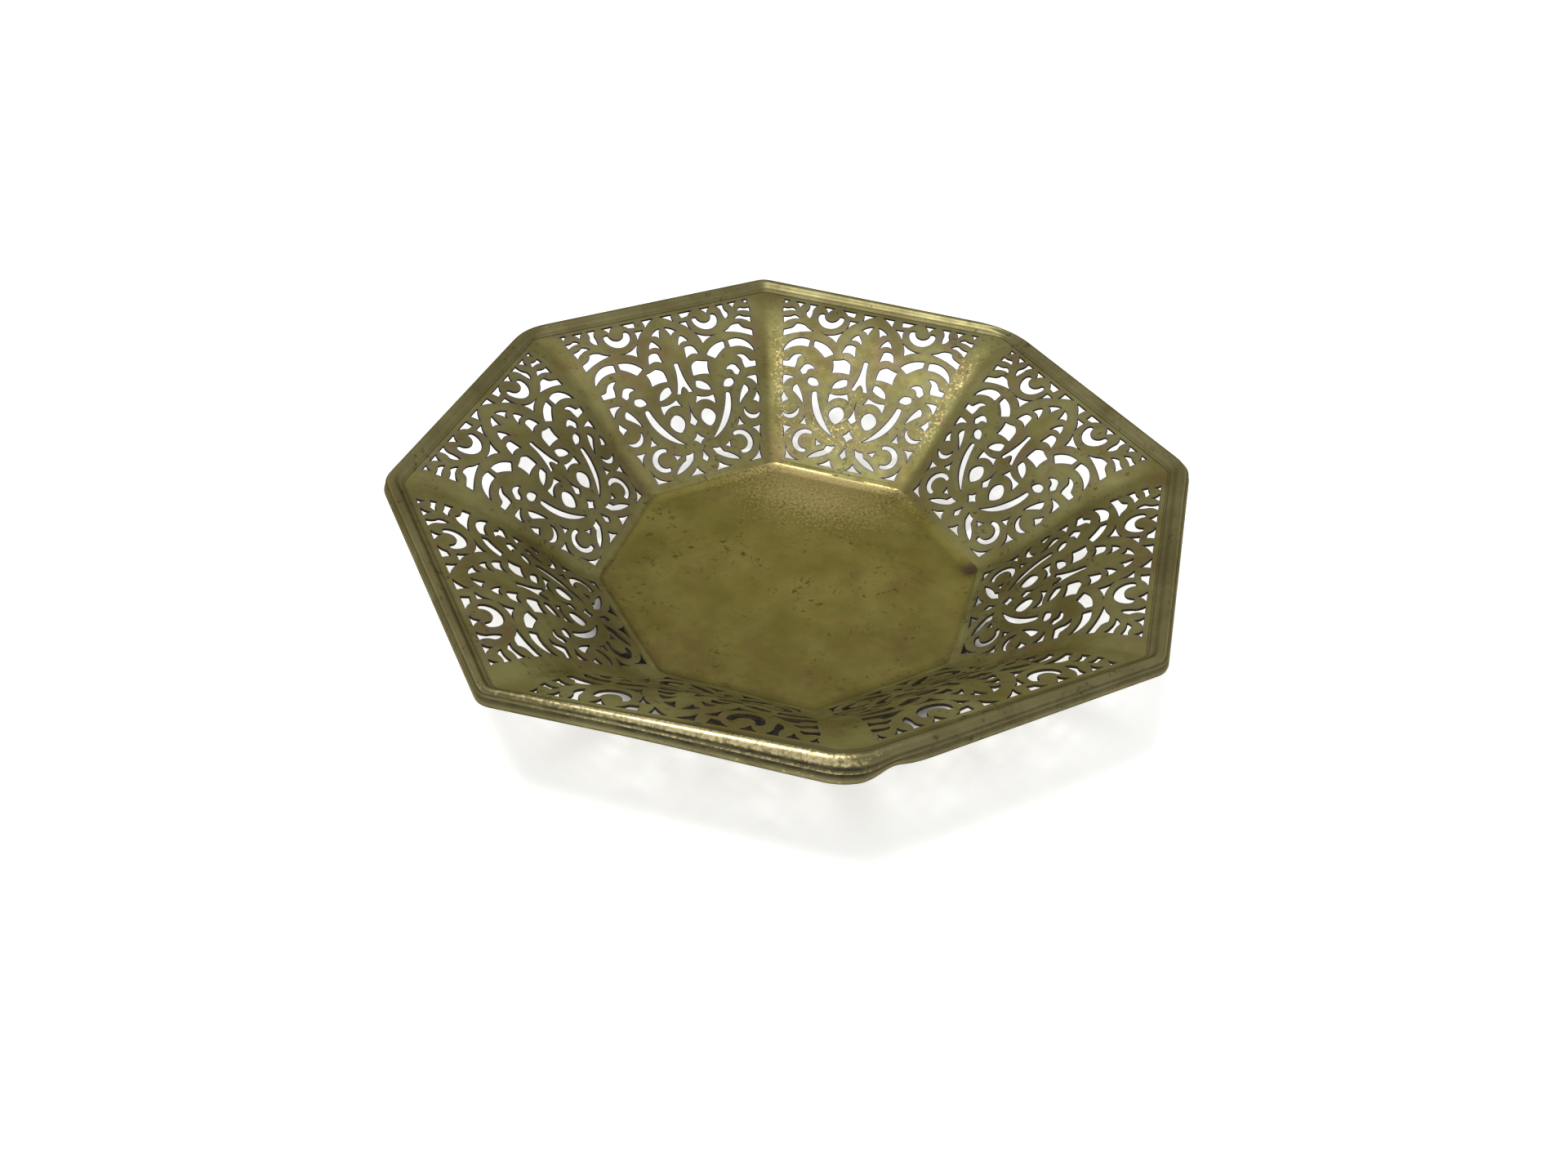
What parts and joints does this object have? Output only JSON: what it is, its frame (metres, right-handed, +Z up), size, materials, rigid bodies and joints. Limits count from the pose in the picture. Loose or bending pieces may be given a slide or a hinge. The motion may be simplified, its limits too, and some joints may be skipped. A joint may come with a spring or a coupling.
{
  "type": "pierced brass dish",
  "caption": "Shallow octagonal brass dish with a flat coved base, flared pierced fretwork wall panels and a beaded rim moulding.",
  "frame": {"origin": "centre of the octagonal base's underside, which the dish rests on", "axes": "+Z up; one corner of the octagon lies on +Y and one on +X"},
  "size_m": [0.2542, 0.2522, 0.0459],
  "materials": {
    "aged_brass": "old sheet brass with an olive-brown patina, rubbed golden on the folds and high spots",
    "rubbed_brass": "brass moulding, dark in its groove and rubbed bright along its bead"
  },
  "bodies": {
    "root": {"base_plate": "aged_brass", "wall_panel_1": "aged_brass", "wall_panel_2": "aged_brass", "wall_panel_3": "aged_brass", "wall_panel_4": "aged_brass", "wall_panel_5": "aged_brass", "wall_panel_6": "aged_brass", "wall_panel_7": "aged_brass", "wall_panel_8": "aged_brass", "rim_rail_1": "rubbed_brass", "rim_rail_2": "rubbed_brass", "rim_rail_3": "rubbed_brass", "rim_rail_4": "rubbed_brass", "rim_rail_5": "rubbed_brass", "rim_rail_6": "rubbed_brass", "rim_rail_7": "rubbed_brass", "rim_rail_8": "rubbed_brass"}
  },
  "joints": []
}
